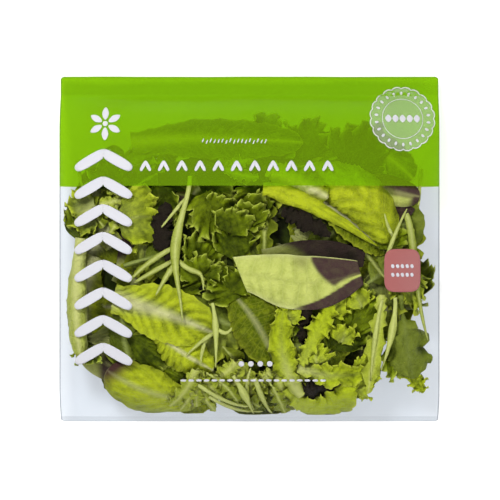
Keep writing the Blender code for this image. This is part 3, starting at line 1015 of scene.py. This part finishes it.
place("ribbed", [(38, -86), (50, -62), (62, -41)], 19, deep=0.7, curl=-0.7, warm=0.95, rib=0.05)
place("ribbed", [(36, -87), (60, -94), (90, -91)], 20, deep=0.8, curl=0.4, warm=0.9, rib_wide=4)
place("cos", [(-66, -62), (-52, -75), (-27, -90)], 30, deep=1.4, curl=-0.7, rib=0.3, rib_wide=2, quilt=1.8, warm=0.75, ruffle=1.4)
place("ribbed", [(28, -104), (54, -121), (80, -98)], 30, deep=1.0, curl=-1.0, warm=0.85, rib=0.05, quilt=0.6)
place("baby", [(112, -34), (116, -62), (122, -97)], 37, deep=1.0, curl=-0.6, rib=0.06, warm=0.6, ruffle=3.2,
      waves=4, bumps=1.6, lobes=4, cut=0.25, quilt=1.6, veins=4)
place("ribbed", [(112, -84), (122, -94), (130, -108)], 14, deep=2.2, warm=0.7, rib=0.05)

# %% Small curls that crown the frilly pieces
small = dict(rows=12, columns=80, spread=62, ruffle=2.8, waves=4.5, deep=0.5)
for base, toward, long in (((67, -72), 70, 17), ((57, -52), 60, 21), ((78, -96), 30, 20), ((50, -88), 95, 19), ((84, -46), 110, 18),
                           ((28, -58), 80, 17), ((76, -106), 20, 16)):
    place_fan("batavia", base, toward, long, **small | dict(warm=0.95, pale=0.2))
for base, toward, long in (((-16, 8), 70, 24), ((2, 14), 100, 22), ((-30, 22), 30, 24), ((-10, 30), 350, 24), ((14, 24), 130, 20),
                           ((-34, -24), 130, 22), ((-14, -34), 60, 20), ((-36, -20), 20, 15), ((-122, -70), 280, 17)):
    place_fan("frill", base, toward, long, **small | dict(warm=0.5, deep=0.9))

# %% Dark leaves in the gaps
# Painted shade: these leaves are darkened to stand for the deep shade in the gaps between leaves.
place("red", [(10, -8), (48, -5), (85, -8)], 24, outline=boat_hull, deep=2.0, curl=0.5, rib=0, shade=0.6, blush=red_beyond(0.32))
place("red", [(82, 30), (104, 27), (123, 30)], 18, deep=3.0, rib=0, shade=0.3, blush=all_red)

# %% Second layer
place("stalk", [(-58, 0), (-75, -11), (-90, -25)], 4.4, deep=1.0, warm=0.3)
place("stalk", [(-57, -9), (-75, -19), (-90, -28)], 3.6, deep=1.2, warm=0.3)
# Painted shade: ragged red leaves darkened nearly to black stand for the dark gaps between leaves.
ragged = dict(outline=blade_outline, rib=0, shade=0.8, blush=all_red, ruffle=1.2, lobes=3, cut=0.35)
place("red", [(-60, 34), (-65, 12), (-57, -10)], 17, deep=1.8, **ragged)
place("red", [(24, 28), (40, 21), (60, 10)], 16, deep=1.8, **ragged)
place("red", [(34, -38), (42, -58), (42, -80)], 16, deep=1.6, **ragged)
place("red", [(30, -102), (46, -107), (64, -100)], 17, deep=2.2, **ragged)
place_fan("batavia", (-102, 22), 4, 38, spread=62, deep=0.9, warm=0.45, pale=0.2)
place_fan("frill", (-24, 50), 258, 42, spread=42, deep=1.0, warm=0.6)
place_fan("frill", (-8, -14), 100, 40, spread=42, deep=1.2, warm=0.35)
place_fan("frill", (14, 50), 235, 40, spread=40, deep=1.2, warm=0.3)
place_fan("frill", (4, -32), 165, 40, spread=40, deep=1.4, warm=0.5)
place_fan("frill", (-42, -24), 70, 38, spread=40, deep=1.8, warm=0.4)
place_fan("frill", (-48, 44), 300, 32, spread=45, deep=2.2, warm=0.3)
place_fan("batavia", (-112, 30), 190, 25, spread=75, deep=1.0, warm=0.3, pale=0.6)
place_fan("frill", (72, -70), 66, 46, spread=34, deep=1.4, warm=0.6)
place_fan("frill", (56, -80), 50, 44, spread=40, deep=2.2, warm=0.35)
place_fan("frill", (92, -2), 48, 32, spread=45, deep=1.8, warm=0.7)
place_fan("frill", (-96, -62), 330, 50, spread=30, deep=1.8, warm=0.35)
place_fan("frill", (104, -66), 290, 30, spread=40, deep=2.0, warm=0.6)
place_fan("frill", (-70, 52), 280, 34, spread=50, deep=3.0, warm=0.2)
place_fan("frill", (30, -40), 320, 40, spread=45, deep=3.0, warm=0.3)
place_fan("batavia", (112, -10), 290, 34, spread=40, deep=2.6, warm=0.2, pale=0.3)
place("baby", [(100, 58), (112, 30), (120, 2)], 30, deep=2.4, warm=0.6)
place("mizuna", [(128, 60), (124, 20), (118, -14)], 22, deep=2.0, warm=0.9)
place("mizuna", [(-128, 66), (-122, 40), (-108, 16)], 22, deep=1.6, warm=0.9)
place("cos", [(50, 34), (79, 17), (103, -2)], 30, deep=3.5, curl=0.9, rib=0.6, quilt=2.0, veins=7, warm=0.2, shade=0.15)
place("cos", [(-14, -32), (5, -55), (20, -86)], 40, deep=2.4, curl=-0.5, rib=0.12, rib_wide=1, quilt=0.9, warm=0.0, shade=0.15)
place("mizuna", [(-30, -88), (-12, -106), (8, -118)], 16, deep=1.4, warm=1.0)


# %% Leaves under the band
place("cos", [(-88, 79), (-30, 82), (40, 79)], 31, deep=0.8, curl=-0.4, rib=0.3, warm=0.0, shade=0.25)
place_fan("frill", (70, 48), 62, 50, spread=46, deep=1.0, warm=0.1, shade=0.25)
place("cos", [(70, 88), (98, 72), (122, 52)], 30, deep=1.2, curl=-0.5, warm=0.2, shade=0.2)
place_fan("frill", (6, 66), 60, 36, spread=60, deep=4.0, warm=0.4)
place_fan("frill", (40, 60), 95, 38, spread=60, deep=5.0, warm=0.3)
place_fan("frill", (-100, 44), 120, 26, spread=60, deep=2.0, warm=0.3)

# %% Curly endive under the rest
endive_fan((-10, -84), 266, 110, 8, 38, 12.0, warm=0.9)
endive_fan((16, -90), 275, 110, 6, 34, 12.0, warm=0.8)
endive_fan((-92, 40), 200, 100, 6, 30, 8.0)
endive_fan((-18, 60), 60, 140, 7, 30, 8.0)

# %% [markdown]
# ## Leaves that fill the bag
#
# The rest of the mix is scattered. The golden angle, 137.5 degrees, spreads any number of places evenly over a disc;
# the disc is squared off towards the bag's outline, and each leaf is turned and bent by a seeded chance.


# %% Scattered leaves
CLEAR_SPOT = (126, -50, 24)  # no scattered leaf has its middle this near


def scatter(kind, count, seed, length, wide, deep, pile=top_pile, **looks):
    """count leaves of a kind over the heap. A number given as (low, high) is drawn from that range."""
    rng = np.random.default_rng(seed)
    for k in range(count):
        radius, angle = math.sqrt((k + 0.5) / count), k * math.pi * (3 - math.sqrt(5)) + seed
        square = (abs(math.cos(angle)) ** 4 + abs(math.sin(angle)) ** 4) ** -0.25 * radius * 0.93
        x = HEAP_MIDDLE[0] + HEAP_REACH[0] * square * math.cos(angle) + rng.normal(0, 4)
        y = HEAP_MIDDLE[1] + HEAP_REACH[1] * square * math.sin(angle) + rng.normal(0, 4)
        turn, reach, bend = rng.uniform(0, 2 * np.pi), rng.uniform(*length) / 2, rng.uniform(-0.3, 0.3)
        ux, uy = reach * math.cos(turn), reach * math.sin(turn)
        width = rng.uniform(*wide)
        if math.hypot(x - CLEAR_SPOT[0], y - CLEAR_SPOT[1]) < CLEAR_SPOT[2] and pile is top_pile:
            continue
        path = [in_heap(x + a * ux - b * uy, y + a * uy + b * ux, 0.4 * width) for a, b in ((-1, 0), (0, bend), (1, 0))]
        drawn = dict(dive=(-3, 5), shade=(0.0, 0.25), warm=(0.0, 0.8)) | looks
        if kind in ("frill", "batavia"):
            drawn = dict(spread=(28, 45)) | drawn
        else:
            drawn = dict(curl=(-0.9, 0.7), roll=(-0.3, 0.3)) | drawn
        drawn = {key: rng.uniform(*value) if isinstance(value, tuple) else value for key, value in drawn.items()}
        if kind in ("frill", "batavia"):
            place_fan(kind, in_heap(x - ux, y - uy, 5), math.degrees(turn), 2 * reach, deep=rng.uniform(*deep), pile=pile, **drawn)
        else:
            place(kind, path, width, deep=rng.uniform(*deep), pile=pile, **drawn)


scatter("frill", 6, 41, (35, 50), (28, 38), (2.5, 5), rows=10, columns=70)
scatter("mizuna", 9, 51, (60, 95), (18, 26), (2.5, 5))
scatter("baby", 9, 61, (45, 65), (26, 36), (3, 6))
scatter("batavia", 10, 71, (40, 60), (30, 40), (3, 6), rows=10, columns=70, warm=(0.0, 0.6), shade=(0.1, 0.35))
# The deeper scattered cos and red leaves are darkened with painted shade.
scatter("cos", 12, 21, (55, 85), (28, 40), (5, 9), rows=36, columns=15, shade=(0.2, 0.5))
scatter("red", 8, 31, (50, 75), (24, 32), (5, 9), rows=36, columns=15, shade=(0.2, 0.5), blush=red_beyond(0.35))
scatter("cos", 18, 23, (50, 80), (28, 42), (8, 12), rows=28, columns=13, shade=(0.5, 0.8))

# %% Leaves on the back of the bag
scatter("mizuna", 9, 52, (60, 100), (18, 26), (0.5, 2), pile=back_pile, rows=44)
scatter("frill", 4, 43, (50, 65), (30, 42), (0.8, 2), pile=back_pile, rows=10, columns=70)
scatter("baby", 8, 62, (45, 70), (28, 38), (0.8, 3), pile=back_pile)
scatter("cos", 12, 22, (60, 95), (30, 44), (1, 4), pile=back_pile, rows=40, columns=15)
scatter("red", 6, 32, (50, 80), (24, 32), (1, 4), pile=back_pile, rows=40, columns=15, blush=red_beyond(0.45))
# The deepest leaves on the back are darkened with painted shade.
scatter("cos", 12, 24, (50, 80), (30, 44), (5, 8), pile=back_pile, rows=28, columns=13, shade=(0.4, 0.7))

# %% Each kind becomes one mesh
cos_finish = leaf_finish("cos lettuce leaf", "#566505", "#bdc622", "#c5ca41", "#d8d494", "#bdc434", vein_strength=0.35)
red_finish = leaf_finish("red cos lettuce leaf", "#9aa232", "#d2d670", "#dadc83", "#cece7c", "#e3e294", red="#4f3a36", vein_strength=0.45)
frill_finish = leaf_finish("frilly green lettuce leaf", "#2e3b03", "#879711", "#647211", "#7a8224", "#d0d958", vein_strength=0.2, rib_show=0.5)
batavia_finish = leaf_finish("batavia lettuce leaf", "#546203", "#b9c521", "#919d1f", "#d2d281", "#dae04c", vein_strength=0.2, rib_show=0.8)
mizuna_finish = leaf_finish("mizuna leaf", "#465203", "#8b9521", "#a0a93c", "#c5ca6b", "#99a229", vein_strength=0.3)
stalk_finish = leaf_finish("mizuna stalk", "#8b9526", "#c5ca67", "#ced072", "#dadc86", "#9ba332", vein_strength=0.2, rib_show=0.6)
endive_finish = leaf_finish("curly endive leaf", "#7c8915", "#b9c23c", "#c1c84c", "#d6d67c", "#bdc447", vein_strength=0.2,
                            rib_show=0.7)
baby_finish = leaf_finish("round baby leaf", "#4f5c0a", "#858f32", "#939d40", "#a4ad59", "#808b28", vein_strength=0.3)

for name, kinds, finish, slot in (
        ("cos_leaves", ("cos",), cos_finish, "green_leaf"), ("red_cos_leaves", ("red",), red_finish, "red_leaf"),
        ("frilly_lettuce", ("frill",), frill_finish, "green_leaf"), ("batavia_lettuce", ("batavia", "ribbed"), batavia_finish, "green_leaf"),
        ("mizuna_leaves", ("mizuna", "blade"), mizuna_finish, "green_leaf"), ("pale_stalks", ("stalk",), stalk_finish, "green_leaf"),
        ("curly_endive", ("endive",), endive_finish, "green_leaf"), ("round_baby_leaves", ("baby",), baby_finish, "green_leaf")):
    join_leaves(name, sum((LEAVES[kind] for kind in kinds), []), finish)

# %% [markdown]
# ## The dark inside of the heap
#
# Between the leaves one sees more leaves, in ever deeper shade. That depth is a lumpy core in the colour of shaded
# leaf, well under the leaves that show.

# %% Core
core_finish, out = new_material("shaded leaf in the heap")
place = add_node(core_finish, "TexCoord")
patches_ = add_node(core_finish, "TexNoise", {"Scale": 60.0, "Detail": 3.0}, Vector=place.outputs["Object"])
tint = add_node(core_finish, "ValToRGB", {}, Fac=patches_.outputs["Fac"])
tint.color_ramp.elements[0].position, tint.color_ramp.elements[0].color = 0.40, linear("#14160a")
tint.color_ramp.elements[1].position, tint.color_ramp.elements[1].color = 0.62, linear("#333d12")
dull = add_node(core_finish, "BsdfPrincipled", {"Roughness": 0.7, "IOR": 1.1}, Base_Color=tint.outputs[0])
connect(core_finish, dull.outputs[0], out.inputs[0])


def core_rings(rows=60, columns=90):
    """A closed lumpy form: rings round the long axis, at shares of the film's height, with sine lumps."""
    t = np.linspace(0, 1, rows)[:, None]
    turn = np.linspace(0, 2 * np.pi, columns, endpoint=False)[None, :]
    y = -0.106 + 0.179 * t + 0 * turn
    narrow = np.sqrt(np.maximum(0.002, 1 - np.abs(2 * t - 1) ** 3))
    x = -0.003 + 0.106 * narrow * np.cos(turn) + 0 * t
    upper, lower = film_heights(x, y)
    lumps = 0.0015 * (np.sin(190 * x + 3 * np.sin(130 * y)) + np.sin(230 * y + 2 * np.sin(160 * x + 1)))
    middle = 0.5 * (upper + lower)
    half = np.maximum(0.0004, 0.5 * (upper - lower) - 0.011) * narrow * 0.9
    z = middle + np.sin(turn) * half * (1 + 0.0 * t) + lumps * np.sign(np.sin(turn)) * (half > 0.004)
    return np.stack([x, y, z], axis=-1)


rings = core_rings()
rows, columns, _ = rings.shape
index = np.arange(rows * columns).reshape(rows, columns)
around = np.roll(index, -1, axis=1)
faces = np.stack([index[:-1], index[1:], around[1:], around[:-1]], axis=-1).reshape(-1, 4)
half_turn = columns // 2
for row, flip in ((index[0], False), (index[-1], True)):
    left, right = row[:half_turn + 1], np.concatenate([row[:1], row[:half_turn - 1:-1]])
    lid = np.stack([left[:-1], left[1:], right[1:], right[:-1]], axis=-1)
    faces = np.concatenate([faces, lid[:, ::-1] if flip else lid])
core = make_mesh("heap_core", rings.reshape(-1, 3), faces, core_finish)

# %% [markdown]
# ## Join it to the imported bag
#
# The two lengths of film stand for the solid, and every piece rides on the one body, so the bag moves as one.

# %% Ride, and hide the solid
for piece, slot in ((film_clear, "clear_film"), (film_band, "band_ink"), (white_print, "white_ink"), (frost_print, "white_ink"),
                    (rose_print, "rose_ink"), (core, "green_leaf")):
    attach(piece, "root")
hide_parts("salad_bag")
